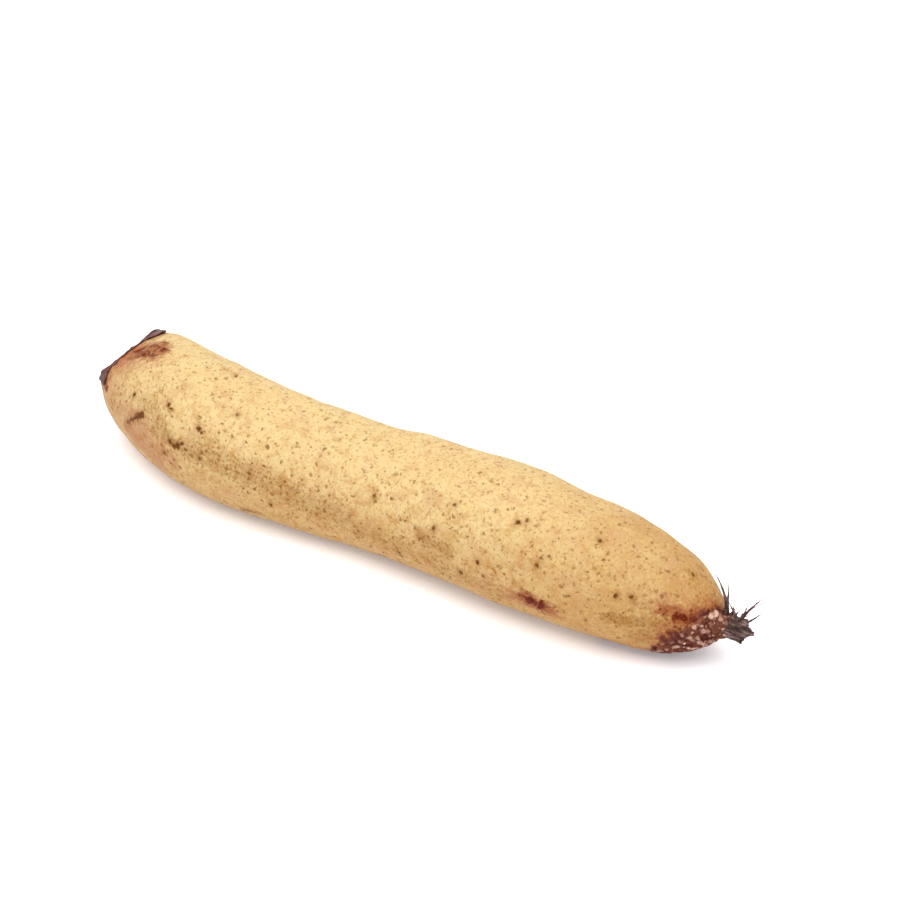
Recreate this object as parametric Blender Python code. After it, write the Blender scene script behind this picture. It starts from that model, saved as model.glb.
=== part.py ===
"""A lotus root segment: one whole internode of the rhizome, lying on its side.

Run with: blender --background --python part.py

Units are metres, +Z is up, and X runs along the root from its broken neck to its rooting node. The origin
is on the surface that the root rests on, below the middle of its length. The root is two solids: the pale
rhizome, with the air channels that open in its broken neck, and the dark crown at its node, with the torn
sheath and the rootlets.
"""

import math

import bmesh
import bpy
import numpy as np
from mathutils import Matrix, Vector

MM = 0.001
WELD = 0.01 * MM  # corners closer than this are one

# Sections of the rhizome from the broken neck to the node, in millimetres: x, y and height of the middle,
# radius, and the lean of the section's top towards the node, in degrees.
SECTIONS = (
    (-145.2, 12.8, 34.3, 16.0, 42.0),
    (-139.3, 10.6, 30.3, 20.2, 30.0),
    (-130.5, 8.0, 27.6, 23.6, 16.0),
    (-114.0, 3.0, 26.5, 26.0, 6.0),
    (-89.0, -3.0, 27.0, 27.2, 0.0),
    (-57.0, -4.5, 25.8, 25.8, 0.0),
    (-17.0, -1.5, 24.4, 24.4, 0.0),
    (18.0, 0.0, 25.2, 25.2, 0.0),
    (53.0, -1.5, 26.3, 26.3, 0.0),
    (83.0, -1.5, 25.0, 25.0, 0.0),
    (105.0, -0.2, 23.1, 23.1, 0.0),
    (119.5, 0.9, 20.6, 19.6, 0.0),
    (130.0, 1.2, 19.3, 14.4, 0.0),
    (136.0, 0.8, 18.8, 9.6, 0.0),
    (139.0, 0.5, 18.5, 6.4, 0.0),
)
RINGS_PER_SPAN = 3
BODY_SIDES = 32
SETTLE = 0.6 * MM  # how far the underside is pressed flat where it rests
OFFSET = np.array((1.62 * MM, -0.57 * MM, -SETTLE))  # brings the middle of the box's underside to the origin
# Low waves in the skin: waves round the girth, waves along the whole length, height as a share of the radius,
# and phase.
SKIN_WAVES = ((2, 1.5, 0.012, 0.6), (3, 2.5, 0.009, 2.1), (5, 1.0, 0.006, 4.0))

CHANNELS = 8
CHANNEL_SIDES = 8
CHANNEL_ORBIT = 0.55  # these three are shares of the local radius
CHANNEL_TALL = 0.15
CHANNEL_WIDE = 0.10
CHANNEL_END = 12.0  # the section, counted from the neck, where the channels close
CHANNEL_RINGS = 15
CHANNEL_OVERCUT = 3 * MM

SCARS = 34
SCAR_RADIUS = 1.9 * MM
SCAR_FIRST, SCAR_LAST = 10.5, 13.4  # between these sections
SCAR_SPREADS = (50.0, 115.0)  # degrees each way from SCAR_MIDDLE, at the first section and at the last
SCAR_MIDDLE = 245.0  # degrees round from +Y over the top: the front of the underside
SCAR_SIDES, SCAR_BANDS = 8, 4
GOLDEN_SHARE = (math.sqrt(5) - 1) / 2

FIT_GAP = 0.3 * MM
CROWN_SIDES = 20
CROWN_RISE = 0.07  # how fast the crown's axis climbs
# The crown's outer wall, then its inner wall back into the cup, in millimetres: distance from the rhizome's
# end, radius, and how much of the torn edge's unevenness that place takes.
CROWN_PROFILE = (
    (0.0, 6.2, 0.0),
    (2.5, 5.6, 0.0),
    (5.0, 4.8, 0.0),
    (7.5, 4.6, 0.4),
    (9.8, 4.8, 1.0),
    (9.4, 3.8, 1.0),
    (7.2, 2.8, 0.4),
    (5.8, 1.1, 0.0),
)
CROWN_WALL_ROWS = 5  # the rows of CROWN_PROFILE that are its outer wall
TORN_DEPTH = 3.2 * MM
TORN_CURL = 0.5  # how far the longest tooth closes in, as a share of the radius
TORN_PEAK = math.radians(75)  # where the longest tooth is, round from +Y over the top

# The rootlets that stand out most, in millimetres and degrees: distance from the rhizome's end, turn round
# from +Y over the top, lean forwards at the root and its change further out (both as slopes), length, and
# radius at the root.
LONG_ROOTLETS = (
    (2.4, 88.0, 0.15, -0.75, 12.5, 0.85),
    (2.8, 78.0, 0.1, -0.2, 10.5, 0.75),
    (6.6, 95.0, -0.2, -0.5, 7.5, 0.80),
    (6.4, 62.0, 0.2, 0.3, 17.0, 0.75),
    (7.4, 30.0, 0.5, 0.4, 6.0, 0.55),
)
SHORT_ROOTLETS = 13
SHORT_FIRST, SHORT_LAST = 1.6, 7.2
SHORT_SPREAD = 95.0  # degrees each way from the top
SHORT_LENGTHS = (3.5, 9.0)
SHORT_RADIUS = 0.6
ROOTLET_TIP = 0.2  # share of the thickness left at the tip
ROOTLET_POINTS = 6
ROOTLET_SUNK = 1.4 * MM
SEED = 7

SKIN_COLOUR = (0.76, 0.50, 0.22)
CROWN_COLOUR = (0.085, 0.047, 0.036)


def clear_scene():
    """Removes whatever the file opened with."""
    for obj in list(bpy.data.objects):
        bpy.data.objects.remove(obj)


def new_collection(name):
    collection = bpy.data.collections.new(name)
    bpy.context.scene.collection.children.link(collection)
    return collection


def new_material(name, colour, roughness):
    material = bpy.data.materials.new(name)
    material.use_nodes = True
    shader = material.node_tree.nodes["Principled BSDF"]
    shader.inputs["Base Color"].default_value = (*colour, 1.0)
    shader.inputs["Roughness"].default_value = roughness
    shader.inputs["Metallic"].default_value = 0.0
    return material


def sections_at(places):
    """Middle, radius and lean at places counted in sections, on a Catmull-Rom curve through SECTIONS."""
    table = np.array(SECTIONS) * (MM, MM, MM, MM, math.pi / 180)
    last = len(table) - 1
    places = np.atleast_1d(np.asarray(places, float))
    start = np.minimum(places.astype(int), last - 1)
    share = (places - start)[:, None]
    before, here = table[np.maximum(start - 1, 0)], table[start]
    there, after = table[start + 1], table[np.minimum(start + 2, last)]
    rows = 0.5 * (
        2 * here
        + (there - before) * share
        + (2 * before - 5 * here + 4 * there - after) * share**2
        + (3 * here - before - 3 * there + after) * share**3
    )
    return rows[:, :3], rows[:, 3], rows[:, 4]


def skin_swell(places, angles):
    """The radius's factor: one plus the low waves that run round and along the skin."""
    along = 2 * math.pi * places / (len(SECTIONS) - 1)
    return 1 + sum(
        height * np.cos(around * angles + lengthwise * along + phase)
        for around, lengthwise, height, phase in SKIN_WAVES
    )


def section_points(places, angles, share):
    """Points at a share of the radius from the middle, in the section's own plane.

    The plane holds +Y and the section's leaning up. Angle zero is +Y, and a quarter turn is up. places and
    angles broadcast together.
    """
    places, angles = np.broadcast_arrays(np.asarray(places, float), angles)
    middle, radius, lean = sections_at(places.ravel())
    middle = middle.reshape(*places.shape, 3)
    radius, lean = radius.reshape(places.shape), lean.reshape(places.shape)
    up = np.stack([np.sin(lean), np.zeros_like(lean), np.cos(lean)], -1)
    reach = radius * share
    sideways = (reach * np.cos(angles))[..., None] * np.array((0.0, 1.0, 0.0))
    return middle + OFFSET + sideways + (reach * np.sin(angles))[..., None] * up


def loft(name, rings):
    """A closed mesh through rings of points, (rings, sides, 3): a grid made a tube, with its ends filled."""
    count, sides = rings.shape[:2]
    bm = bmesh.new()
    bmesh.ops.create_grid(bm, x_segments=sides, y_segments=count - 1, size=1)
    wrapped = np.concatenate([rings, rings[:, :1]], axis=1)
    for vertex, point in zip(bm.verts, wrapped.reshape(-1, 3)):
        vertex.co = point
    bmesh.ops.remove_doubles(bm, verts=bm.verts, dist=WELD)
    bmesh.ops.holes_fill(bm, edges=bm.edges, sides=0)
    return finish_mesh(bm, name)


def finish_mesh(bm, name):
    """Turns the faces outwards and returns the mesh."""
    bmesh.ops.recalc_face_normals(bm, faces=bm.faces)
    mesh = bpy.data.meshes.new(name)
    bm.to_mesh(mesh)
    bm.free()
    return mesh


def add_object(mesh, collection, material=None):
    obj = bpy.data.objects.new(mesh.name, mesh)
    collection.objects.link(obj)
    if material:
        mesh.materials.append(material)
    return obj


def combine(obj, helpers, operation):
    """Cuts the helpers out of obj (DIFFERENCE) or joins them to it (UNION), then removes them.

    The helpers are a collection, so that one Boolean takes them all.
    """
    modifier = obj.modifiers.new(operation.lower(), "BOOLEAN")
    modifier.operation = operation
    modifier.operand_type = "COLLECTION"
    modifier.collection = helpers
    modifier.solver = "EXACT"
    graph = bpy.context.evaluated_depsgraph_get()
    mesh = bpy.data.meshes.new_from_object(obj.evaluated_get(graph))
    obj.modifiers.clear()
    obj.data = mesh
    for helper in list(helpers.objects):
        bpy.data.objects.remove(helper)
    bpy.data.collections.remove(helpers)


def shade(obj, sharp_degrees):
    obj.data.shade_smooth()
    obj.data.set_sharp_from_angle(angle=math.radians(sharp_degrees))


def rhizome_body():
    """The root's outside, pressed flat by SETTLE where it rests, so that the flat spot is at height zero."""
    spans = len(SECTIONS) - 1
    places = np.linspace(0, spans, spans * RINGS_PER_SPAN + 1)[:, None]
    angles = np.linspace(0, 2 * math.pi, BODY_SIDES, endpoint=False)[None, :]
    rings = section_points(places, angles, skin_swell(places, angles))
    rings[..., 2] = np.maximum(rings[..., 2], 0)
    return loft("rhizome", rings)


def channel_cutter(index):
    """One air channel: an oval, longer outwards, that runs along the root at CHANNEL_ORBIT of its radius."""
    places = np.linspace(0, CHANNEL_END, CHANNEL_RINGS)[:, None]
    around = 2 * math.pi * (index + 0.25) / CHANNELS
    turn = np.linspace(0, 2 * math.pi, CHANNEL_SIDES, endpoint=False)[None, :]
    outwards = CHANNEL_ORBIT + CHANNEL_TALL * np.cos(turn)
    across = CHANNEL_WIDE * np.sin(turn)
    rings = section_points(places, around + np.arctan2(across, outwards), np.hypot(outwards, across))
    lean = math.radians(SECTIONS[0][4])
    rings[0] += CHANNEL_OVERCUT * np.array((-math.cos(lean), 0, math.sin(lean)))
    return loft(f"channel_{index}", rings)


def scar(index, draw):
    """One root scar: a knob half sunk in the skin, in a patch that widens round the root towards the node."""
    share = (index + 0.5) / SCARS
    spread = np.interp(share, (0, 1), SCAR_SPREADS)
    turn = 2 * ((index * GOLDEN_SHARE) % 1) - 1
    around = math.radians(SCAR_MIDDLE + spread * turn)
    place = SCAR_FIRST + (SCAR_LAST - SCAR_FIRST) * share
    spot = section_points(place, around, 0.99)
    bm = bmesh.new()
    size = SCAR_RADIUS * draw.uniform(0.55, 1.0)
    bmesh.ops.create_uvsphere(bm, u_segments=SCAR_SIDES, v_segments=SCAR_BANDS, radius=size)
    bmesh.ops.rotate(bm, verts=bm.verts, matrix=Matrix.Rotation(around, 3, "X"))
    bmesh.ops.translate(bm, verts=bm.verts, vec=Vector(spot))
    return finish_mesh(bm, f"scar_{index}")


def build_rhizome(parts, material):
    """The rhizome: its body, less the air channels, with the root scars fused on."""
    body = add_object(rhizome_body(), parts, material)
    cutters = new_collection("channel cutters")
    for index in range(CHANNELS):
        add_object(channel_cutter(index), cutters)
    combine(body, cutters, "DIFFERENCE")
    scars = new_collection("scars")
    draw = np.random.default_rng(SEED)
    for index in range(SCARS):
        knob = scar(index, draw)
        if min(vertex.co.z for vertex in knob.vertices) > 0:
            add_object(knob, scars)
    combine(body, scars, "UNION")
    shade(body, 40)
    return body


def crown_axis(distance):
    """A point on the crown's axis, which starts a fit gap beyond the rhizome's end and climbs gently."""
    start = np.array(SECTIONS[-1][:3]) * MM + OFFSET
    return start + (FIT_GAP + distance, 0, CROWN_RISE * distance)


def torn_edge(angles):
    """How far the torn edge stands out, in shares of TORN_DEPTH: a long tooth, and a short one opposite."""
    turn = angles - TORN_PEAK
    return 0.5 * np.cos(turn) + 0.4 * np.cos(2 * turn) + 0.1 * np.cos(5 * turn)


def crown_body():
    """The neck and the torn sheath: CROWN_PROFILE turned about its axis, with its edge torn and curled in."""
    angles = np.linspace(0, 2 * math.pi, CROWN_SIDES, endpoint=False)
    edge = torn_edge(angles)
    rings = []
    for distance, radius, torn in CROWN_PROFILE:
        reach = radius * MM * (1 - TORN_CURL * torn * np.maximum(edge, 0))
        middles = np.array([crown_axis(along) for along in distance * MM + TORN_DEPTH * torn * edge])
        rings.append(middles + np.stack([0 * angles, reach * np.cos(angles), reach * np.sin(angles)], -1))
    return loft("root_crown", np.array(rings))


def rootlet(name, distance, turn, lean, bend, length, radius):
    """One rootlet's curve: out of the crown's wall, leaning forwards by lean, and by lean + bend further out.

    The turn is in degrees, lean and bend are slopes, and the other values are in millimetres.
    """
    around = math.radians(turn)
    outwards = np.array((0.0, math.cos(around), math.sin(around)))
    forwards = np.array((1.0, 0.0, 0.0))
    walls = CROWN_PROFILE[:CROWN_WALL_ROWS]
    wall = np.interp(distance, [row[0] for row in walls], [row[1] for row in walls]) * MM
    curve = bpy.data.curves.new(name, "CURVE")
    curve.dimensions = "3D"
    curve.bevel_depth = radius * MM
    curve.bevel_resolution = 0
    curve.use_fill_caps = True
    spline = curve.splines.new("POLY")
    spline.points.add(ROOTLET_POINTS - 1)
    place = crown_axis(distance * MM) + (wall - ROOTLET_SUNK) * outwards
    step = (length * MM + ROOTLET_SUNK) / (ROOTLET_POINTS - 1)
    for number, point in enumerate(spline.points):
        share = number / (ROOTLET_POINTS - 1)
        point.co = (*place, 1.0)
        point.radius = 1 - (1 - ROOTLET_TIP) * share
        slope = lean + bend * min(share * 2, 1)
        heading = outwards + slope * forwards
        place = place + step * heading / np.linalg.norm(heading)
    return curve


def rootlet_rows():
    """Every rootlet's row of values: the long ones as stated, and the short ones by a seeded rule."""
    yield from LONG_ROOTLETS
    draw = np.random.default_rng(SEED + 1)
    for index in range(SHORT_ROOTLETS):
        distance = np.interp((index + 0.5) / SHORT_ROOTLETS, (0, 1), (SHORT_FIRST, SHORT_LAST))
        turn = 90 + SHORT_SPREAD * (2 * ((index * GOLDEN_SHARE + 0.3) % 1) - 1)
        length = draw.uniform(*SHORT_LENGTHS)
        yield distance, turn, draw.uniform(-0.2, 0.7), draw.uniform(-0.6, 0.5), length, SHORT_RADIUS


def rootlet_meshes(collection):
    """Turns each rootlet's curve into a closed mesh object in the collection."""
    for index, row in enumerate(rootlet_rows()):
        name = f"rootlet_{index}"
        guide = bpy.data.objects.new(name, rootlet(name, *row))
        collection.objects.link(guide)
        graph = bpy.context.evaluated_depsgraph_get()
        mesh = bpy.data.meshes.new_from_object(guide.evaluated_get(graph))
        bpy.data.objects.remove(guide)
        bm = bmesh.new()
        bm.from_mesh(mesh)
        bmesh.ops.remove_doubles(bm, verts=bm.verts, dist=WELD)
        bpy.data.meshes.remove(mesh)
        add_object(finish_mesh(bm, name), collection)


def build_crown(parts, material):
    """The crown: its neck and sheath, with the rootlets fused on."""
    crown = add_object(crown_body(), parts, material)
    helpers = new_collection("rootlets")
    rootlet_meshes(helpers)
    combine(crown, helpers, "UNION")
    shade(crown, 50)
    return crown


def main():
    clear_scene()
    parts = new_collection("lotus root segment")
    build_rhizome(parts, new_material("root skin", SKIN_COLOUR, 0.55))
    build_crown(parts, new_material("root crown", CROWN_COLOUR, 0.85))


main()
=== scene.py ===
"""The looks of a lotus root segment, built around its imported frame.

The root lies along X, from its broken neck to its rooting node. Every surface here is a function of two
parameters, worked out with numpy as whole arrays, in metres and in the frame's own axes.
"""

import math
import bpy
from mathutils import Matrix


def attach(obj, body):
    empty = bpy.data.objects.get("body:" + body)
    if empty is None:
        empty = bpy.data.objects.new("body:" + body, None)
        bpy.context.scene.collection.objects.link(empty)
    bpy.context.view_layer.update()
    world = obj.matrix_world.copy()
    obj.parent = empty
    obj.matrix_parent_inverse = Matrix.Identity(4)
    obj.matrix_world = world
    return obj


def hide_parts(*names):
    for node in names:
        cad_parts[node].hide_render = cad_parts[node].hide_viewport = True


bl_info = {
    "name": "Lotus root segment",
    "version": (1, 0, 0),
    "blender": (4, 5, 0),
    "location": "3D View > Sidebar > Lotus root",
    "description": "Skin, broken neck, node, torn sheath and rootlets of one lotus root segment",
    "category": "Object",
}

import bpy
import numpy as np
from mathutils import Vector

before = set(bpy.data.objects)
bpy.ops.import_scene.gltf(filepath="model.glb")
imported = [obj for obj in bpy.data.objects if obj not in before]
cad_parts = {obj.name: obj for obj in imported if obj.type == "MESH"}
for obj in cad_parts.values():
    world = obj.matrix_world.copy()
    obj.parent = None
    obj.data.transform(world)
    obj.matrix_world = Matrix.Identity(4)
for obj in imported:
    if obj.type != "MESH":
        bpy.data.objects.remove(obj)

MM = 0.001

# The part's own sections, from the broken neck to the node, in millimetres: x, y and height of the middle,
# radius, and the lean of the section's top towards the node, in degrees. SHIFT puts them in the frame.
SECTIONS = (
    (-145.2, 12.8, 34.3, 16.0, 42.0),
    (-139.3, 10.6, 30.3, 20.2, 30.0),
    (-130.5, 8.0, 27.6, 23.6, 16.0),
    (-114.0, 3.0, 26.5, 26.0, 6.0),
    (-89.0, -3.0, 27.0, 27.2, 0.0),
    (-57.0, -4.5, 25.8, 25.8, 0.0),
    (-17.0, -1.5, 24.4, 24.4, 0.0),
    (18.0, 0.0, 25.2, 25.2, 0.0),
    (53.0, -1.5, 26.3, 26.3, 0.0),
    (83.0, -1.5, 25.0, 25.0, 0.0),
    (105.0, -0.2, 23.1, 23.1, 0.0),
    (119.5, 0.9, 20.6, 19.6, 0.0),
    (130.0, 1.2, 19.3, 14.4, 0.0),
    (136.0, 0.8, 18.8, 9.6, 0.0),
    (139.0, 0.5, 18.5, 6.4, 0.0),
)
SHIFT = np.array((1.62, -0.57, -0.6)) * MM
LAST = len(SECTIONS) - 1
FIRST_SPAN = 7.0  # millimetres of skin from the first section to the second
# Low waves in the skin: waves round the girth, waves along the whole length, height as a share of the radius,
# and phase.
SKIN_WAVES = ((2, 1.5, 0.012, 0.6), (3, 2.5, 0.009, 2.1), (5, 1.0, 0.006, 4.0))

# The ochre side is partly real stain and partly painted shade of the lower side.
UNDER_TURN = math.radians(28)  # how far the ochre side is turned from the underside to the front

CHANNELS = 8
CHANNEL_ORBIT = 0.55
CHANNEL_TALL = 0.15
CHANNEL_WIDE = 0.10

# The part's own rule for its largest root scars.
SCARS = 34
SCAR_RADIUS = 1.9 * MM
SCAR_FIRST, SCAR_LAST = 10.5, 13.4
SCAR_SPREADS = (50.0, 115.0)  # degrees each way from SCAR_MIDDLE, at the first scar and at the last
SCAR_MIDDLE = 245.0
SMALL_SCAR_FIRST = 10.9
NODE_START = 9.5  # the section from which the scarred patch is worked out
GOLDEN_SHARE = (math.sqrt(5) - 1) / 2
# Half the width of the scarred patch, in degrees from SCAR_MIDDLE, at places along the node.
PATCH_PLACES = (10.7, 11.0, 11.4, 12.4, 13.6, 14.0)
PATCH_WIDTHS = (0, 20, 48, 82, 132, 155)

# How many points each surface has along its two directions.
SKIN_COLUMNS = 204
SKIN_ROWS = ((0.0, 1.2, 34), (1.2, 9.9, 218), (9.9, LAST, 128))  # from one section to another, and how many
FACE_ROWS = 66
COLLAR_COLUMNS = 360
NECK_ROWS, NECK_COLUMNS = 74, 132
SHEATH_ROWS, SHEATH_COLUMNS = 46, 168
ROOTLET_ROWS, ROOTLET_SIDES = 26, 9
HAIR_ROWS, HAIR_SIDES = 18, 6

CROWN_RISE = 0.07
# Distance from the rhizome's end and radius, in millimetres, of the scarred neck, and of the sheath round it.
NECK = ((-2.0, 6.6), (0.0, 6.1), (1.3, 5.3), (2.6, 4.7), (4.0, 4.2), (4.8, 3.9), (5.3, 3.1))
SHEATH = ((3.0, 4.5), (4.5, 4.25), (6.0, 4.1), (8.0, 4.0), (10.0, 4.2), (13.5, 4.2))
# Of the rough plug inside the sheath, radius and distance.
PLUG = ((1.9, 5.7), (1.4, 6.2), (0.9, 7.0), (0.4, 7.3))
NECK_SCARS = 64
SHEATH_END = 9.0 * MM
TONGUE, TONGUE_TURN, TONGUE_WIDTH = 5.8 * MM, math.radians(140), 0.95
SPIKE, SPIKE_TURN, SPIKE_WIDTH = 1.0 * MM, math.radians(256), 0.25

# Of the dried band round the broken neck, the turn and half width of its flap on top, and of a scrap beside
# it.
FLAP = (math.radians(72), math.radians(24))
SCRAP = (math.radians(182), math.radians(15))

# Rootlets, in millimetres and degrees: distance from the rhizome's end, turn round from +Y over the top, lean
# forwards and its change further out (both as slopes), length, and radius at the root.
LONG_ROOTLETS = (
    (2.0, 74.0, 0.05, -0.75, 15.5, 0.85),
    (2.4, 80.0, 0.0, -0.15, 13.0, 0.70),
    (7.4, 92.0, -0.25, -0.4, 7.5, 0.75),
    (7.5, 69.0, 0.30, 0.4, 12.5, 0.62),
    (7.8, 86.0, 0.15, 0.2, 8.5, 0.45),
    (9.5, 40.0, 0.6, 0.3, 6.0, 0.50),
)
# One long hair, given in the same way.
LONG_HAIR = (7.8, 48.0, 0.15, 0.85, 18.0, 0.20)
SHORT_ROOTLETS = 13
SHORT_FIRST, SHORT_LAST = 1.6, 7.2
SHORT_SPREAD = 95.0
SHORT_LENGTHS = (2.5, 6.5)
SHORT_RADIUS = 0.45
# The least and most of each value of a seeded hair, in the same order, and its radius.
HAIR_SPANS = ((0.8, 8.2), (-15, 195), (-0.4, 1.0), (-0.8, 0.8), (3, 12))
HAIR_RADIUS = 0.17
ROOTLET_SUNK = 1.4 * MM
SEED = 7

# The fine, middling and strong specks: spacing in metres, size as a share of it, and the share of places that
# have one.
SPECKS = ((0.0020, 0.42, 0.90), (0.0032, 0.38, 0.90), (0.0056, 0.23, 0.85))
# Dark dots on the skin that show one by one: section, degrees round from +Y over the top, and radius in
# millimetres.
DOTS = (
    (2.70, 150, 1.25),
    (3.77, 139, 0.90),
    (3.84, 141, 0.75),
    (3.95, 168, 1.10),
    (4.10, 168, 1.35),
    (4.24, 168, 0.80),
    (3.81, 183, 0.90),
    (4.39, 146, 1.10),
    (4.44, 148, 0.85),
    (4.47, 171, 0.75),
    (4.79, 121, 0.80),
    (4.42, 86, 0.75),
    (5.16, 166, 0.80),
    (5.39, 192, 0.80),
    (6.57, 150, 0.80),
    (6.94, 197, 0.80),
    (7.39, 159, 0.85),
    (7.55, 135, 0.80),
    (7.78, 190, 0.90),
    (8.00, 173, 1.00),
    (8.37, 130, 1.05),
    (8.46, 126, 0.70),
    (8.78, 156, 0.90),
    (9.51, 116, 1.00),
    (10.14, 156, 0.95),
    (10.47, 152, 0.75),
    (11.69, 92, 0.75),
)
# Dark dashes, each from one dot to another, and how many dots make one.
DASHES = (
    ((3.18, 160, 1.50), (2.98, 167, 1.20)),
    ((2.98, 167, 1.05), (2.70, 179, 0.70)),
    ((4.97, 216, 0.75), (5.20, 213, 0.50)),
    ((4.02, 171, 0.95), (4.18, 164, 0.75)),
)
DASH_DOTS = 9
# Softer stains, each a stroke between two points, with its half width in millimetres and its strength.
OLIVE_STAINS = (
    (3.10, 150, 3.60, 166, 7.0, 0.65),
    (3.45, 150, 4.00, 168, 7.0, 0.76),
    (4.00, 170, 4.60, 171, 7.5, 0.62),
    (4.40, 166, 5.40, 168, 11.0, 0.75),
    (5.30, 170, 6.20, 180, 11.0, 0.72),
    (6.10, 184, 6.70, 190, 9.0, 0.60),
    (7.25, 171, 7.60, 176, 5.5, 0.85),
    (6.60, 190, 8.40, 194, 9.0, 0.60),
    (10.00, 180, 10.45, 178, 3.8, 1.00),
    (10.20, 179, 11.20, 171, 4.2, 1.08),
    (11.10, 171, 11.80, 160, 5.0, 0.98),
    (10.80, 196, 11.80, 172, 9.0, 0.75),
    (10.60, 158, 11.60, 150, 6.0, 0.60),
    (12.60, 128, 13.40, 112, 6.0, 0.65),
)
RED_STAINS = (
    (0.00, 134, 1.20, 116, 9.0, 0.80),
    (1.00, 117, 2.50, 101, 11.0, 0.98),
    (1.60, 106, 2.60, 99, 5.0, 1.00),
    (0.00, 190, 0.80, 180, 4.5, 1.00),
    (8.66, 190, 8.96, 193, 7.0, 1.02),
    (8.70, 196, 8.96, 199, 4.8, 0.68),
    (8.70, 190, 8.90, 192, 4.4, 1.22),
    (11.35, 152, 12.30, 146, 5.5, 0.75),
    (11.80, 155, 12.08, 153, 4.3, 1.32),
    (11.95, 154, 12.60, 147, 3.6, 1.15),
    (12.55, 147, 13.45, 121, 3.6, 1.20),
    (12.00, 168, 13.00, 158, 6.0, 0.68),
    (11.20, 190, 12.20, 174, 6.0, 0.40),
)
BLUSHES = (
    (2.75, 186, 3.60, 199, 8.5, 1.05),
    (2.90, 172, 3.90, 184, 11.0, 0.80),
    (0.60, 170, 2.40, 176, 11.0, 0.50),
    (0.10, 144, 1.60, 132, 11.0, 0.80),
    (1.00, 124, 2.60, 108, 13.0, 0.70),
    (8.42, 193, 9.06, 196, 8.4, 0.80),
    (11.20, 190, 12.40, 162, 9.0, 0.40),
    (11.30, 150, 13.40, 126, 9.0, 0.60),
)

# The stage, in metres.
FLOOR_SIDE = 6.0
AIM = Vector((1.2, 35.6, 24.4)) * MM
KEY_PLACE = Vector((0.05, -0.2, 1.05))
KEY_SIDE = 1.2


def paint(red, green, blue):
    """A colour given as a screen shows it, 0 to 255, as linear shares of light."""
    screen = np.array((red, green, blue)) / 255
    light = np.where(screen <= 0.04045, screen / 12.92, ((screen + 0.055) / 1.055) ** 2.4)
    return tuple(float(share) for share in light)


def sections_at(places):
    """Middle, radius and lean at places counted in sections, on a Catmull-Rom curve through SECTIONS."""
    table = np.array(SECTIONS) * (MM, MM, MM, MM, math.pi / 180)
    places = np.atleast_1d(np.asarray(places, float))
    start = np.minimum(places.astype(int), LAST - 1)
    share = (places - start)[:, None]
    before, here = table[np.maximum(start - 1, 0)], table[start]
    there, after = table[start + 1], table[np.minimum(start + 2, LAST)]
    rows = 0.5 * (
        2 * here
        + (there - before) * share
        + (2 * before - 5 * here + 4 * there - after) * share**2
        + (3 * here - before - 3 * there + after) * share**3
    )
    return rows[:, :3], rows[:, 3], rows[:, 4]


def skin_swell(places, angles):
    """The radius's factor: one plus the low waves that run round and along the skin."""
    along = 2 * math.pi * places / LAST
    return 1 + sum(
        height * np.cos(around * angles + lengthwise * along + phase)
        for around, lengthwise, height, phase in SKIN_WAVES
    )


def turn_angles(count):
    """Angles evenly round a full turn, from zero."""
    return np.linspace(0, 2 * math.pi, count, endpoint=False)


def turned_from(angles, turn):
    """How far the angles are from a turn, within half a turn each way."""
    return np.angle(np.exp(1j * (angles - turn)))


def bell(angles, turn, width):
    """One at the turn, falling to zero as a bell with the angle from it."""
    return np.exp(-((turned_from(angles, turn) / width) ** 2))


def unit(vectors):
    """The vectors brought to length one."""
    return vectors / np.linalg.norm(vectors, axis=-1, keepdims=True)


def section_points(places, angles, share):
    """Points at a share of the radius from the middle, in the section's own plane.

    Each is the middle, plus radius times share times the cosine of the angle along +Y and its sine along the
    leaning up.
    """
    places, angles = np.broadcast_arrays(np.asarray(places, float), angles)
    middle, radius, lean = sections_at(places.ravel())
    middle = middle.reshape(*places.shape, 3)
    radius, lean = radius.reshape(places.shape), lean.reshape(places.shape)
    up = np.stack([np.sin(lean), np.zeros_like(lean), np.cos(lean)], -1)
    reach = radius * share
    sideways = (reach * np.cos(angles))[..., None] * np.array((0.0, 1.0, 0.0))
    return middle + SHIFT + sideways + (reach * np.sin(angles))[..., None] * up


def ripple(points, size, seed, count=28):
    """Smooth noise of about -1 to 1 over points: a sum of seeded sine waves, each about `size` long."""
    draw = np.random.default_rng(seed)
    heading = unit(draw.normal(size=(count, 3)))
    pace = 2 * math.pi / (size * draw.uniform(0.7, 1.5, count))
    phase = draw.uniform(0, 2 * math.pi, count)
    return np.sin(points @ (heading * pace[:, None]).T + phase).sum(-1) * math.sqrt(2 / count) / 1.6


def ragged(angles, seed, first, last):
    """Noise of about -1 to 1 round a ring: cosines of `first` to `last` waves, with seeded phases."""
    draw = np.random.default_rng(seed)
    waves = np.arange(first, last + 1)
    height = draw.uniform(0.4, 1.0, len(waves))
    phase = draw.uniform(0, 2 * math.pi, len(waves))
    total = (height * np.cos(np.asarray(angles)[..., None] * waves + phase)).sum(-1)
    return total / np.sqrt((height**2).sum())


def smooth_step(low, high, values):
    """Zero below low, one above high, and 3 t squared minus 2 t cubed between them."""
    share = np.clip((values - low) / (high - low), 0, 1)
    return share * share * (3 - 2 * share)


def outward_normals(points):
    """Unit normals of a grid that wraps round its second axis: the cross of its two directions of travel."""
    along = np.gradient(points, axis=0)
    around = np.roll(points, -1, axis=1) - np.roll(points, 1, axis=1)
    normal = np.cross(around, along)
    normal /= np.maximum(np.linalg.norm(normal, axis=-1, keepdims=True), 1e-12)
    outward = points - points.mean(axis=1, keepdims=True)
    return normal if (normal * outward).sum() > 0 else -normal


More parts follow.
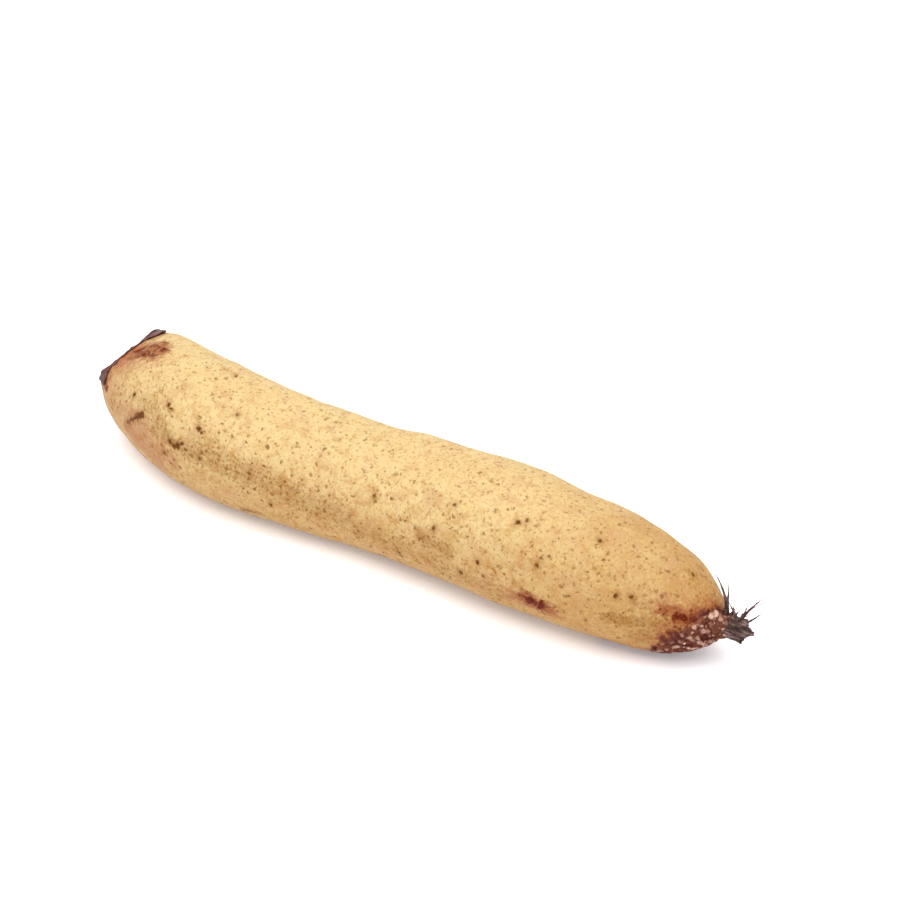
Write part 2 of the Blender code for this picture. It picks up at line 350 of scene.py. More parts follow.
def stain_mask(places, angles, strokes):
    """How stained the skin is, 0 to 1: the strongest of the strokes at each point.

    A stroke runs between two points of the skin. Its strength fades smoothly with the distance from the
    segment between them, to nothing at its half width.
    """
    places, angles = np.broadcast_arrays(places, angles)
    points = section_points(places, angles, 1.0).reshape(-1, 3) / MM
    mask = np.zeros(len(points))
    for place_a, turn_a, place_b, turn_b, half, strength in strokes:
        start = section_points(place_a, math.radians(turn_a), 1.0).reshape(3) / MM
        reach = section_points(place_b, math.radians(turn_b), 1.0).reshape(3) / MM - start
        share = np.clip((points - start) @ reach / (reach @ reach), 0, 1)
        distance = np.linalg.norm(points - start - share[:, None] * reach, axis=1)
        mask = np.maximum(mask, strength * smooth_step(half, 0.15 * half, distance))
    return mask.reshape(places.shape)


def add_object(name, data):
    """A new object in the scene, at the origin."""
    thing = bpy.data.objects.new(name, data)
    bpy.context.scene.collection.objects.link(thing)
    return thing


def make_piece(name, points, faces, attributes=None):
    """A mesh object at the origin from points and faces, with its attributes, and its faces turned outwards.

    The faces point outwards when the sum of their corners' triple products, which is six times the volume, is
    positive.
    """
    points = np.asarray(points, float)
    volume = 0.0
    for corners in faces:
        a, b, c = (points[corners[:, i]] for i in (0, 1, 2))
        volume += (a * np.cross(b, c)).sum()
        if corners.shape[1] == 4:
            d = points[corners[:, 3]]
            volume += (a * np.cross(c, d)).sum()
    if volume < 0:
        faces = [corners[:, ::-1] for corners in faces]
    mesh = bpy.data.meshes.new(name)
    mesh.from_pydata(points.tolist(), [], [row for corners in faces for row in corners.tolist()])
    for key, values in (attributes or {}).items():
        layer = mesh.attributes.new(key, "FLOAT", "POINT")
        layer.data.foreach_set("value", np.asarray(values, np.float32).ravel())
    mesh.shade_smooth()
    return add_object(name, mesh)


def tube_faces(rows, columns):
    """Quads of a grid of rows by columns whose columns close into rings."""
    corner = np.arange(rows * columns).reshape(rows, columns)
    beside = np.roll(corner, -1, axis=1)
    return np.stack([corner[:-1], beside[:-1], beside[1:], corner[1:]], -1).reshape(-1, 4)


def cap_faces(ring, pole):
    """Triangles from a ring's vertices to its pole."""
    return np.stack([ring, np.roll(ring, -1), np.full_like(ring, pole)], -1)


def closed_tube(rings, start=None):
    """Points and faces of a tube closed by a pole at each end: the mean of its ring, or `start` if given."""
    rows, columns = rings.shape[:2]
    count = rows * columns
    start = rings[0].mean(0) if start is None else start
    points = np.concatenate([rings.reshape(-1, 3), [start], [rings[-1].mean(0)]])
    first, last = np.arange(columns), np.arange(count - columns, count)
    quads = tube_faces(rows, columns)
    return points, [quads, cap_faces(first[::-1], count), cap_faces(last, count + 1)]


def join_shapes(shapes):
    """One list of points and faces out of several closed shapes."""
    points, faces, start = [], [], 0
    for shape_points, shape_faces in shapes:
        points.append(shape_points)
        faces += [corners + start for corners in shape_faces]
        start += len(shape_points)
    return np.concatenate(points), faces


class Graph:
    """Short ways to add nodes to a shader tree and to link them."""

    def __init__(self, tree):
        self.tree = tree

    def add(self, kind, inputs=None, **settings):
        node = self.tree.nodes.new(kind)
        for key, value in settings.items():
            setattr(node, key, value)
        for key, value in (inputs or {}).items():
            self.feed(node.inputs[key], value)
        return node

    def feed(self, socket, value):
        if isinstance(value, bpy.types.NodeSocket):
            self.tree.links.new(value, socket)
        elif socket.type == "RGBA" and len(value) == 3:
            socket.default_value = (*value, 1.0)
        else:
            socket.default_value = value

    def math(self, operation, *values):
        node = self.add("ShaderNodeMath", operation=operation)
        for socket, value in zip(node.inputs, values):
            self.feed(socket, value)
        return node.outputs[0]

    def product(self, first, *others):
        """The values multiplied together."""
        for value in others:
            first = self.math("MULTIPLY", first, value)
        return first

    def vector(self, operation, first, second):
        """A vector operation's result: a vector, or the number that DISTANCE gives."""
        inputs = {0: first, "Scale" if operation == "SCALE" else 1: second}
        node = self.add("ShaderNodeVectorMath", inputs, operation=operation)
        return node.outputs["Value" if operation == "DISTANCE" else "Vector"]

    def span(self, value, low, high, to_low=0.0, to_high=1.0, smooth=True):
        """value from low..high to to_low..to_high, held at the ends."""
        node = self.add("ShaderNodeMapRange", interpolation_type="SMOOTHSTEP" if smooth else "LINEAR")
        keys = ("Value", "From Min", "From Max", "To Min", "To Max")
        for key, number in zip(keys, (value, low, high, to_low, to_high)):
            self.feed(node.inputs[key], number)
        return node.outputs["Result"]

    def mix(self, share, first, second):
        """The first colour at a share of zero, and the second at one."""
        node = self.add("ShaderNodeMix", data_type="RGBA")
        self.feed(node.inputs["Factor"], share)
        self.feed(node.inputs[6], first)
        self.feed(node.inputs[7], second)
        return node.outputs[2]

    def coat(self, colour, *rows):
        """A colour with coats over it: each row is a coat, the value that spreads it, and its limits."""
        for coat, value, *limits in rows:
            colour = self.mix(self.span(value, *limits), colour, coat)
        return colour

    def noise(self, vector, size, detail=3.0, roughness=0.55, distortion=0.0):
        """Noise of 0 to 1 whose lumps are about `size` metres wide."""
        inputs = {
            "Vector": vector,
            "Scale": 1 / size,
            "Detail": detail,
            "Roughness": roughness,
            "Distortion": distortion,
        }
        return self.add("ShaderNodeTexNoise", inputs).outputs["Fac"]

    def warped(self, place, scale, detail, reach):
        """The place plus `reach` times a noise's colour less one half, which makes shapes uneven."""
        noise = self.add("ShaderNodeTexNoise", {"Vector": place, "Scale": scale, "Detail": detail})
        centred = self.vector("SUBTRACT", noise.outputs["Color"], (0.5, 0.5, 0.5))
        return self.vector("ADD", place, self.vector("SCALE", centred, reach))

    def attribute(self, name):
        return self.add("ShaderNodeAttribute", attribute_name=name).outputs["Fac"]

    def place(self):
        return self.add("ShaderNodeTexCoord").outputs["Object"]

    def group(self, tree, inputs):
        node = self.add("ShaderNodeGroup", node_tree=tree)
        for key, value in inputs.items():
            self.feed(node.inputs[key], value)
        return node.outputs


def new_group(name, inputs, outputs):
    """A shader node group with named float or vector sockets, and its graph and inner sockets."""
    kinds = {"value": "NodeSocketFloat", "vector": "NodeSocketVector"}
    tree = bpy.data.node_groups.new(name, "ShaderNodeTree")
    for key, kind in inputs.items():
        tree.interface.new_socket(key, in_out="INPUT", socket_type=kinds[kind])
    for key, kind in outputs.items():
        tree.interface.new_socket(key, in_out="OUTPUT", socket_type=kinds[kind])
    graph = Graph(tree)
    return tree, graph, graph.add("NodeGroupInput").outputs, graph.add("NodeGroupOutput").inputs


def speck_group():
    """Dots scattered over a surface: each cell's dot has its own size and strength, and a ragged edge.

    It is built once, and found by its name after that.
    """
    known = bpy.data.node_groups.get("Root specks")
    if known:
        return known
    tree, graph, given, result = new_group(
        "Root specks",
        {"Place": "vector", "Spacing": "value", "Size": "value", "Amount": "value"},
        {"Mask": "value"},
    )
    scale = graph.math("DIVIDE", 1.0, given["Spacing"])
    reach = graph.product(given["Spacing"], 0.8)
    moved = graph.warped(given["Place"], graph.product(scale, 1.9), 2.0, reach)
    cells = graph.add("ShaderNodeTexVoronoi", {"Vector": moved, "Scale": scale}, voronoi_dimensions="3D")
    chance = graph.add("ShaderNodeSeparateColor", {"Color": cells.outputs["Color"]}).outputs
    radius = graph.product(given["Size"], graph.span(chance[0], 0.0, 1.0, 0.45, 1.0, smooth=False))
    inside = graph.span(cells.outputs["Distance"], graph.product(radius, 0.35), radius, 1.0, 0.0)
    kept = graph.math("LESS_THAN", chance[1], given["Amount"])
    strength = graph.span(chance[2], 0.0, 1.0, 0.5, 1.0, smooth=False)
    graph.feed(result["Mask"], graph.product(inside, kept, strength))
    return tree


def fibre_group():
    """Dry plant fibre: streaks stretched along one direction, and grain. Built once, as the specks are."""
    known = bpy.data.node_groups.get("Dry fibre")
    if known:
        return known
    tree, graph, given, result = new_group(
        "Dry fibre",
        {"Place": "vector", "Stretch": "vector"},
        {"Streaks": "value", "Grain": "value"},
    )
    stretched = graph.vector("MULTIPLY", given["Place"], given["Stretch"])
    graph.feed(result["Streaks"], graph.noise(stretched, 1.0, 4.0, 0.6, 0.6))
    graph.feed(result["Grain"], graph.noise(given["Place"], 0.0006, 4.0, 0.65))
    return tree


def principled(name, **sockets):
    """A new material, its graph and its shader, with values set on the shader's own sockets.

    A socket's name is given in small letters, with underscores for its spaces.
    """
    material = bpy.data.materials.new(name)
    material.use_nodes = True
    shader = material.node_tree.nodes["Principled BSDF"]
    for socket in shader.inputs:
        key = socket.name.lower().replace(" ", "_")
        if key in sockets:
            socket.default_value = sockets[key]
    return material, Graph(material.node_tree), shader


def relief(graph, shader, height, distance):
    """Bump from a height of 0 to 1 that stands for so many metres."""
    bump = graph.add("ShaderNodeBump", {"Height": height, "Distance": distance, "Strength": 1.0})
    graph.feed(shader.inputs["Normal"], bump.outputs["Normal"])


def dot_field(graph, place):
    """Distance in metres to the nearest edge of a dot or dash, negative inside, over warped places."""
    marks = list(DOTS)
    for ends in DASHES:
        marks += np.linspace(*ends, DASH_DOTS).tolist()
    moved = graph.warped(place, 700.0, 3.0, 0.0021)
    field = 1.0
    for section, turn, radius in marks:
        angle = math.radians(turn)
        centre = section_points(section, angle, skin_swell(section, angle)).reshape(3)
        apart = graph.vector("DISTANCE", moved, tuple(centre))
        field = graph.math("MINIMUM", field, graph.math("SUBTRACT", apart, radius * MM))
    return field


def skin_material(name, look):
    """The pale skin: cream, pink and tan zones, mottling, specks, stains, dots, scars and the neck's face."""
    material, graph, shader = principled(name, specular_ior_level=0.06)
    place = graph.place()
    along, under = graph.attribute("along"), graph.attribute("under")
    clouds = graph.noise(place, 0.022, 3.0, 0.5, 0.4)
    tint = graph.noise(place, 0.0075, 3.0, 0.6, 0.5)
    mottle = graph.noise(place, 0.0042, 4.0, 0.62, 0.9)
    grain = graph.noise(place, 0.0011, 3.0, 0.65)
    lengthwise = graph.vector("MULTIPLY", place, (0.4, 1.0, 1.0))
    ragged_edge = graph.span(graph.noise(lengthwise, 0.0022, 4.0, 0.65), 0.25, 0.75, 0.0, 1.0, smooth=False)

    # Zones along the root, the ochre lower side, partly real stain and partly painted shade, and the
    # mottling.
    drift = graph.math("MULTIPLY_ADD", clouds, 0.4, graph.math("SUBTRACT", along, 0.2))
    low = graph.math("ADD", under, graph.span(clouds, 0.25, 0.75, -0.22, 0.22, smooth=False))
    colour = graph.coat(
        look.pink,
        (look.cream, drift, 0.02, 0.22),
        # Tan towards the node end: its own colour, made darker in part as painted shade of that end.
        (look.tan, drift, 0.45, 0.95),
        (look.pink, tint, 0.50, 0.70, 0.0, 0.55),
        (look.straw, tint, 0.32, 0.48, 0.35, 0.0),
        # Painted shade in part: ochre over the lower side, turned to the front, darkens it as shade would.
        (look.ochre, low, -0.35, 0.9, 0.0, look.underside),
    )
    # Painted shade in part: the ochre mottle is heavier on the lower side.
    mottle_and_low_shade = graph.product(graph.span(mottle, 0.42, 0.70), graph.span(under, -0.8, 0.4, 0.35, 0.75))
    colour = graph.coat(
        graph.mix(mottle_and_low_shade, colour, look.ochre),
        (look.ochre, grain, 0.50, 0.70, 0.0, 0.60),
        (look.cream, grain, 0.30, 0.46, 0.40, 0.0),
    )

    # Specks, fewer in places and on the top.
    keys = ("Place", "Spacing", "Size", "Amount")
    fine, middling, strong = (
        graph.group(speck_group(), dict(zip(keys, (place, *row))))["Mask"] for row in SPECKS
    )
    busy = graph.span(graph.noise(place, 0.03, 2.0, 0.5), 0.3, 0.7, 0.8, 1.0)
    busy = graph.product(busy, graph.span(under, -1.0, 0.0, 0.65, 1.0))
    colour = graph.mix(graph.product(fine, look.fine_strength), colour, look.speck)
    colour = graph.mix(graph.product(middling, look.middling_strength, busy), colour, look.speck)
    colour = graph.mix(graph.product(strong, look.strong_strength, busy), colour, look.dark_speck)

    # Stains with broken edges, the grain that they darken, blotches in the red ones, and the dots.
    broken = graph.math("MULTIPLY_ADD", ragged_edge, 0.75, graph.product(grain, 0.5))
    for stain, coat, least, most in (
        ("olive", look.olive, 0.72, 0.46),
        ("blush", look.blush, 0.72, 0.50),
        ("red", look.rust, 0.80, 0.80),
    ):
        worn = graph.math("ADD", graph.attribute(stain), broken)
        colour = graph.coat(colour, (coat, worn, least, least + 0.95, 0.0, most))
    dusted = graph.math("MULTIPLY_ADD", graph.attribute("olive"), 0.15, grain)
    deep = graph.math("ADD", graph.attribute("red"), graph.span(mottle, 0.3, 0.7))
    deep = graph.math("MULTIPLY_ADD", grain, 0.8, deep)
    colour = graph.coat(
        colour,
        (look.speck, dusted, 0.64, 0.76, 0.0, 0.45),
        (look.blotch, deep, 1.60, 2.30, 0.0, 0.95),
    )
    field = dot_field(graph, place)
    halo = graph.product(graph.span(field, -0.0002, 0.0026, 0.75, 0.0), ragged_edge)
    colour = graph.mix(halo, colour, look.olive)
    dot_tone = graph.coat(look.dark_speck, (look.speck, grain, 0.42, 0.72))
    colour = graph.coat(colour, (dot_tone, field, -0.0006, 0.0005, 1.0, 0.0))

    # The scarred patch: dark crevices, and pale scars.
    zone = graph.attribute("zone")
    crevice = graph.coat(look.crevice, (look.furrow, mottle, 0.35, 0.65))
    patchy = graph.math("ADD", graph.math("MULTIPLY_ADD", mottle, 0.9, zone), graph.product(grain, 0.5))
    grainy = graph.span(grain, 0.25, 0.75, -0.16, 0.16, smooth=False)
    paled = graph.math("ADD", graph.attribute("bud"), grainy)
    colour = graph.coat(
        colour,
        (crevice, patchy, 0.85, 1.60, 0.0, 0.92),
        (look.bud, paled, 0.10, 0.85, 0.0, 0.92),
    )

    # The broken neck's face, its channels, and the brown edge round its rim.
    face = graph.attribute("face")
    face_colour = graph.coat(
        look.face,
        (look.blush, mottle, 0.35, 0.75, 0.0, 0.45),
        (look.olive, grain, 0.46, 0.72, 0.0, 0.65),
        (look.pit, graph.attribute("pit"), 0.05, 0.6, 0.0, 0.9),
    )
    rim = graph.math("MULTIPLY_ADD", ragged_edge, 1.2, graph.attribute("rim"))
    colour = graph.coat(
        graph.mix(face, colour, face_colour),
        (look.blush, rim, 1.5, 6.5, 0.45, 0.0),
        (look.crevice, rim, 0.6, 2.4, 0.9, 0.0),
    )
    graph.feed(shader.inputs["Base Color"], colour)

    rough = graph.span(mottle, 0.2, 0.8, look.roughness - 0.06, look.roughness + 0.1, smooth=False)
    dry = graph.math("MAXIMUM", zone, face)
    rough = graph.math("MAXIMUM", rough, graph.product(dry, 0.75))
    graph.feed(shader.inputs["Roughness"], rough)
    height = graph.math("MULTIPLY_ADD", grain, 0.35, graph.product(mottle, 0.65))
    height = graph.math("MULTIPLY_ADD", middling, -0.5, height)
    relief(graph, shader, height, 0.00025)
    return material


def crown_material(name, look, stretch, pale, middle):
    """Dried sheath and rootlets: dark to a middle colour, with greyer and paler streaks along the fibre."""
    material, graph, shader = principled(name, specular_ior_level=0.3)
    fibre = graph.group(fibre_group(), {"Place": graph.place(), "Stretch": stretch})
    streaks, grain = fibre["Streaks"], fibre["Grain"]
    height = graph.math("MULTIPLY_ADD", streaks, 0.7, graph.product(grain, 0.3))
    colour = graph.coat(look.dark, (middle, streaks, 0.35, 0.68), (look.grey, height, 0.46, 0.64, 0.0, pale))
    colour = graph.mix(graph.product(graph.attribute("worn"), 0.75), colour, look.grey)
    graph.feed(shader.inputs["Base Color"], colour)
    graph.feed(shader.inputs["Roughness"], graph.span(grain, 0.2, 0.8, 0.6, 0.9, smooth=False))
    relief(graph, shader, height, 0.0003)
    return material


def colour_property(name, red, green, blue):
    """A colour that a user may change, given as a screen shows it."""
    return bpy.props.FloatVectorProperty(
        name=name,
        description=f"Colour of the {name.lower()}",
        default=paint(red, green, blue),
        subtype="COLOR",
        size=3,
        min=0,
        max=1,
    )


def number_property(name, description, default, **settings):
    return bpy.props.FloatProperty(name=name, description=description, default=default, **settings)


def share_property(name, description, default):
    return number_property(name, description, default, subtype="FACTOR", min=0, max=1)


def length_property(name, description, millimetres):
    return number_property(name, description, millimetres * MM, subtype="DISTANCE", unit="LENGTH", min=0)


def angle_property(name, description, degrees):
    return number_property(name, description, math.radians(degrees), subtype="ANGLE")


def count_property(name, description, default, least):
    return bpy.props.IntProperty(name=name, description=description, default=default, min=least)


class RootSkinLook(bpy.types.PropertyGroup):
    """What a user may change on the skin."""

    cream: colour_property("Cream skin", 194, 171, 123)
    pink: colour_property("Pink skin", 173, 135, 98)
    straw: colour_property("Straw skin", 190, 166, 106)
    # Its own colour, made darker in part as painted shade of the node end.
    tan: colour_property("Tan skin", 161, 120, 69)
    ochre: colour_property("Ochre skin", 162, 118, 64)
    olive: colour_property("Olive stain", 128, 84, 32)
    blush: colour_property("Pinkish stain", 148, 86, 58)
    rust: colour_property("Rusty stain", 128, 66, 32)
    blotch: colour_property("Red-brown blotch", 80, 18, 0)
    speck: colour_property("Speck", 102, 60, 10)
    dark_speck: colour_property("Dark speck", 84, 41, 2)
    crevice: colour_property("Purple crevice", 104, 57, 48)
    furrow: colour_property("Dark furrow", 70, 29, 22)
    bud: colour_property("Root scar", 206, 171, 150)
    face: colour_property("Broken face", 158, 118, 84)
    pit: colour_property("Inside of an air channel", 62, 36, 24)
    # Partly painted shade: how strongly the ochre darkens the lower side.
    underside: share_property("Underside", "How ochre the underside is", 0.48)
    fine_strength: share_property("Fine specks", "How strongly the finest specks show", 0.6)
    middling_strength: share_property("Middling specks", "How strongly the middling specks show", 0.95)
    strong_strength: share_property("Strong specks", "How strongly the largest specks show", 0.9)
    roughness: share_property("Roughness", "Roughness of the clean skin", 0.5)
    ridge: length_property("Ridges", "Height of the faint ridges along the root", 0.12)
    dent: length_property("Dents", "Height of the broad unevenness of the skin", 0.3)
    scars: count_property("Root scars", "How many small scars crowd the node", 130, 1)
    scar_size: length_property("Scar size", "Radius of the largest small root scar", 1.6)
    pit_depth: length_property("Channel depth", "How deep the air channels are seen", 12.0)


class RootCrownLook(bpy.types.PropertyGroup):
    """What a user may change on the dried sheath and the rootlets."""

    dark: colour_property("Dark fibre", 47, 27, 24)
    brown: colour_property("Brown fibre", 92, 62, 56)
    grey: colour_property("Grey fibre", 142, 124, 116)
    maroon: colour_property("Maroon fibre", 94, 37, 34)
    wall: length_property("Sheath", "Thickness of the torn sheath", 0.5)
    hairs: count_property("Fine hairs", "How many hair-thin rootlets there are, besides one long one", 9, 0)


class RootStageLook(bpy.types.PropertyGroup):
    """What a user may change on the stage."""

    floor: colour_property("Floor", 250, 249, 251)
    glow: share_property("Glow", "Light that the floor gives off itself, as a lit table does", 0.15)
    sky: number_property("Sky", "Strength of the even light from all round", 0.95)
    key: number_property("Key", "Power of the soft light above", 15.0, unit="POWER")
    azimuth: angle_property("Azimuth", "Turn of the camera from looking along +Y", 33)
    elevation: angle_property("Elevation", "Camera's height above the horizon", 33)
    distance: length_property("Distance", "From the camera to what it aims at", 900)
    lens: number_property("Lens", "Focal length in millimetres", 90)


def skin_rows():
    """Places of the skin's rings, counted in sections: closer together near the neck and over the scars."""
    *spans, node = SKIN_ROWS
    return np.concatenate([*(np.linspace(*span, endpoint=False) for span in spans), np.linspace(*node)])


def patch_margin(places, angles):
    """How far inside the scarred patch a point lies, in millimetres over the skin, negative outside.

    It is the patch's half width less the turn from SCAR_MIDDLE, in degrees, times the radius.
    """
    turn = np.abs(np.degrees(turned_from(angles, math.radians(SCAR_MIDDLE))))
    radius = sections_at(np.ravel(places))[1].reshape(np.shape(places))
    return np.radians(np.interp(places, PATCH_PLACES, PATCH_WIDTHS) - turn) * radius / MM


def scar_table(look):
    """Centres, radii and tones of the root scars: the part's own large ones, and smaller seeded ones."""
    number = np.arange(SCARS)
    share = (number + 0.5) / SCARS
    turn = 2 * ((number * GOLDEN_SHARE) % 1) - 1
    places = SCAR_FIRST + (SCAR_LAST - SCAR_FIRST) * share
    angles = np.radians(SCAR_MIDDLE + np.interp(share, (0, 1), SCAR_SPREADS) * turn)
    sizes = SCAR_RADIUS * np.random.default_rng(SEED).uniform(0.55, 1.0, SCARS)
    inside = patch_margin(places, angles) > -1.0
    draw = np.random.default_rng(SEED + 5)
    more = np.arange(look.scars)
    spread = (more + draw.uniform(0, 1, look.scars)) / look.scars
    extra_places = SMALL_SCAR_FIRST + (LAST - SMALL_SCAR_FIRST) * spread**0.85
    width = np.interp(extra_places, PATCH_PLACES, PATCH_WIDTHS)
    extra_turns = 2 * ((more * GOLDEN_SHARE + draw.uniform(-0.12, 0.12, look.scars)) % 1) - 1
    places = np.concatenate([places[inside], extra_places])
    angles = np.concatenate([angles[inside], np.radians(SCAR_MIDDLE + width * extra_turns)])
    sizes = np.concatenate([sizes[inside], look.scar_size * draw.uniform(0.45, 1.0, look.scars)])
    centres = section_points(places, angles, 0.99)
    tones = draw.uniform(0.3, 1.0, len(sizes)) * (0.8 + 0.3 * np.clip(ripple(centres, 9 * MM, 46), -1, 1))
    return centres, sizes, np.clip(1.15 * tones, 0.1, 1.0)


def scar_relief(points, centres, sizes, tones):
    """Height in metres and paleness, 0 to 1, of root scars over points.

    A scar is a dome, a power of one minus the squared distance over its radius, with a small crater in its
    top. The distances are measured from points moved by a little noise, so that no scar is round. The highest
    scar wins at each point.
    """
    shape = points.shape[:-1]
    points = points.reshape(-1, 3)
    moved = points + 0.42 * MM * np.stack([ripple(points, 2.6 * MM, seed) for seed in (41, 42, 43)], -1)
    height, pale = np.zeros(len(points)), np.zeros(len(points))
    for centre, size, tone in zip(centres, sizes, tones):
        share = np.linalg.norm(moved - centre, axis=1) / size
        dome = np.clip(1 - share**2, 0, 1)
        crater = np.exp(-((share / 0.3) ** 2))
        rise = size * (0.46 * dome**0.65 - 0.16 * crater)
        higher = rise > height
        height = np.where(higher, rise, height)
        pale = np.where(higher, tone * dome * (1 - 0.3 * crater), pale)
    return height.reshape(shape), pale.reshape(shape)


def skin_points(look):
    """The skin's rings and its attributes.

    A point is the section's point at the radius times the swell, moved along the normal by the relief: faint
    ridges that are cosines round the girth, broad and small ripples, wrinkles that fade away from the neck,
    and the scars. What would go below the surface that the root rests on is pressed flat at height zero.
    """
    places = skin_rows()[:, None]
    angles = turn_angles(SKIN_COLUMNS)[None, :]
    points = section_points(places, angles, skin_swell(places, angles))
    normals = outward_normals(points)
    ends = smooth_step(0.0, 0.6, places) * smooth_step(LAST, LAST - 0.8, places)
    swing = 11 * angles + 1.6 * np.sin(places * 0.9)
    ridges = look.ridge * np.cos(swing) * (0.6 + 0.4 * np.cos(3 * angles + places))
    dents = look.dent * ripple(points, 34 * MM, 1) + 0.4 * look.dent * ripple(points, 11 * MM, 2)
    pores = 0.05 * MM * ripple(points, 2.4 * MM, 3)
    wrinkles = 0.35 * MM * np.exp(-places / 0.45) * ragged(angles, 5, 9, 26) * smooth_step(0.0, 0.12, places)
    places, angles = np.broadcast_arrays(places, angles)
    height, bud, zone = np.zeros((3, *places.shape))
    node = skin_rows() > NODE_START
    near = points[node]
    height[node], bud[node] = scar_relief(near, *scar_table(look))
    margin = patch_margin(places[node], angles[node])
    margin = margin + 2.2 * ripple(near, 5 * MM, 44) + 1.0 * ripple(near, 2 * MM, 45)
    zone[node] = smooth_step(-6.0, 3.0, margin)
    furrow = 0.45 * MM * zone * (height <= 0)
    blush, red = stain_mask(places, angles, BLUSHES), stain_mask(places, angles, RED_STAINS)
    blush[node] = np.maximum(blush[node], 0.9 * smooth_step(-15.0, -3.0, margin))
    red[node] = np.maximum(red[node], 0.85 * smooth_step(-10.0, 0.0, margin))
    total = ends * (ridges + dents + pores) * (1 - 0.7 * zone) + wrinkles + height - furrow
    points = points + normals * total[..., None]
    points[..., 2] = np.maximum(points[..., 2], 0)
    attributes = {
        "along": places / LAST,
        # The lower side, turned to the front, which spreads the ochre that is partly painted shade.
        "under": -np.sin(angles + UNDER_TURN),
        "zone": zone,
        "bud": bud,
        "olive": stain_mask(places, angles, OLIVE_STAINS),
        "red": red,
        "blush": blush,
        "rim": places * FIRST_SPAN,
    }
    return points, attributes


def face_frame():
    """The middle of the broken neck's face, and the face's unit normal."""
    lean = math.radians(SECTIONS[0][4])
    return section_points(0.0, 0.0, 0.0).reshape(3), np.array((-math.cos(lean), 0.0, math.sin(lean)))


def face_points(look, rim_ring):
    """The broken neck's face and its attributes, from its middle out to the skin's first ring.

    A point is the face's middle, plus a share of the way to the rim, plus a height along the face's normal: a
    low raised rim, small ripples, and a pit where the point lies inside one of the channels. A channel is an
    oval, and the pit's depth steps smoothly from none to full across its edge.
    """
    share = np.linspace(0, 1, FACE_ROWS + 1)[1:-1, None] ** 0.9
    angles = turn_angles(SKIN_COLUMNS)[None, :]
    middle, normal = face_frame()
    flat = middle + share[..., None] * (rim_ring[None] - middle)
    inside = np.full(np.broadcast_shapes(share.shape, angles.shape), 9.0)
    for number in range(CHANNELS):
        turn = angles - 2 * math.pi * (number + 0.25) / CHANNELS
        outwards = (share * np.cos(turn) - CHANNEL_ORBIT) / CHANNEL_TALL
        across = share * np.sin(turn) / CHANNEL_WIDE
        inside = np.minimum(inside, np.hypot(outwards, across))
    pit = smooth_step(1.12, 0.88, inside)
    lip = np.exp(-(((share - 0.93) / 0.05) ** 2)) * (0.5 + 0.35 * ragged(angles, 11, 3, 17))
    bowl = -0.8 * (1 - share**2)
    rough = 0.22 * ripple(flat, 2.6 * MM, 12) + 0.12 * ripple(flat, 1.0 * MM, 13)
    swollen = 0.25 * np.exp(-(((inside - 1.35) / 0.25) ** 2))
    height = (lip + bowl + rough * smooth_step(1.0, 0.9, share) + swollen) * MM - look.pit_depth * pit
    points = flat + height[..., None] * normal
    attributes = {"face": 0 * pit + 1, "pit": pit, "rim": (1 - share) * 14 + 0 * angles}
    return points, attributes, middle - 0.8 * MM * normal


def build_skin(look):
    """The whole pale body as one closed surface: the neck's face, the skin, and the node's end."""
    skin, skin_layers = skin_points(look)
    face, face_layers, face_middle = face_points(look, skin[0])
    points, faces = closed_tube(np.concatenate([face, skin]), face_middle)
    layers = {}
    for key in {**skin_layers, **face_layers}:
        on_face = face_layers.get(key, np.zeros(face.shape[:2]))
        joined = np.concatenate([on_face, skin_layers.get(key, np.zeros(skin.shape[:2]))])
        layers[key] = np.concatenate([joined.ravel(), [joined[0].mean(), joined[-1].mean()]])
    return make_piece("root_skin", points, faces, layers)


